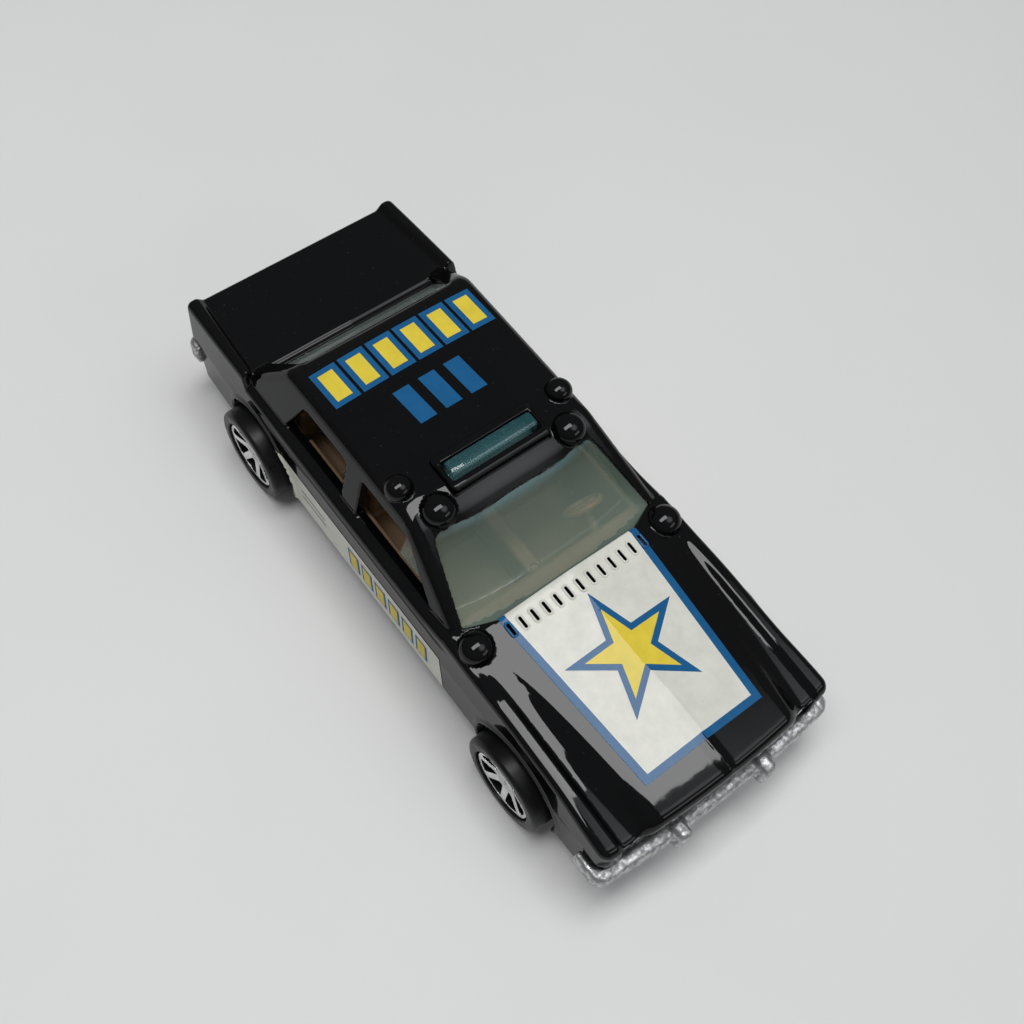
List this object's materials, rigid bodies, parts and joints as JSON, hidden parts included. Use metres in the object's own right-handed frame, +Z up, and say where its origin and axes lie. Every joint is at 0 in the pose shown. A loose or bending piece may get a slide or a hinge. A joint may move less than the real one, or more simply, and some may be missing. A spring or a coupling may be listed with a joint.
{
  "type": "toy police car",
  "caption": "Small die-cast toy patrol car: gloss black saloon shell on a bare metal base, tinted windows with a roof light, brown seats, and wheels that roll freely on wire axles.",
  "frame": {"origin": "on the ground under the middle of the car's box", "axes": "+X to the nose, +Y to the car's left, +Z up"},
  "size_m": [0.076, 0.031, 0.0225],
  "materials": {
    "black_paint": "high gloss enamel",
    "tinted_clear": "clear tinted plastic",
    "brown_plastic": "satin moulding",
    "bare_casting": "bare zinc alloy, rough as cast",
    "axle_wire": "drawn wire",
    "black_plastic": "satin moulding",
    "bright_foil": "hot-stamped foil"
  },
  "bodies": {
    "chassis": {"body_shell": "black_paint", "window_insert": "tinted_clear", "interior_tub": "brown_plastic", "chassis_base": "bare_casting", "front_rivet": "axle_wire", "rear_rivet": "axle_wire"},
    "front_shaft": {"front_axle": "axle_wire"},
    "rear_shaft": {"rear_axle": "axle_wire"},
    "front_left": {"front_left_wheel": "black_plastic", "front_left_foil": "bright_foil"},
    "front_right": {"front_right_wheel": "black_plastic", "front_right_foil": "bright_foil"},
    "rear_left": {"rear_left_wheel": "black_plastic", "rear_left_foil": "bright_foil"},
    "rear_right": {"rear_right_wheel": "black_plastic", "rear_right_foil": "bright_foil"}
  },
  "joints": [
    {"name": "front_axle_turn", "type": "hinge", "parent": "chassis", "child": "front_shaft", "pos_m": [0.02315, 0, 0.0053], "axis": [0, 1, 0], "continuous": true},
    {"name": "rear_axle_turn", "type": "hinge", "parent": "chassis", "child": "rear_shaft", "pos_m": [-0.02175, 0, 0.0053], "axis": [0, 1, 0], "continuous": true},
    {"name": "front_left_spin", "type": "hinge", "parent": "front_shaft", "child": "front_left", "pos_m": [0.02315, 0.0135, 0.0053], "axis": [0, 1, 0], "continuous": true},
    {"name": "front_right_spin", "type": "hinge", "parent": "front_shaft", "child": "front_right", "pos_m": [0.02315, -0.0135, 0.0053], "axis": [0, 1, 0], "continuous": true},
    {"name": "rear_left_spin", "type": "hinge", "parent": "rear_shaft", "child": "rear_left", "pos_m": [-0.02175, 0.0135, 0.0053], "axis": [0, 1, 0], "continuous": true},
    {"name": "rear_right_spin", "type": "hinge", "parent": "rear_shaft", "child": "rear_right", "pos_m": [-0.02175, -0.0135, 0.0053], "axis": [0, 1, 0], "continuous": true}
  ]
}
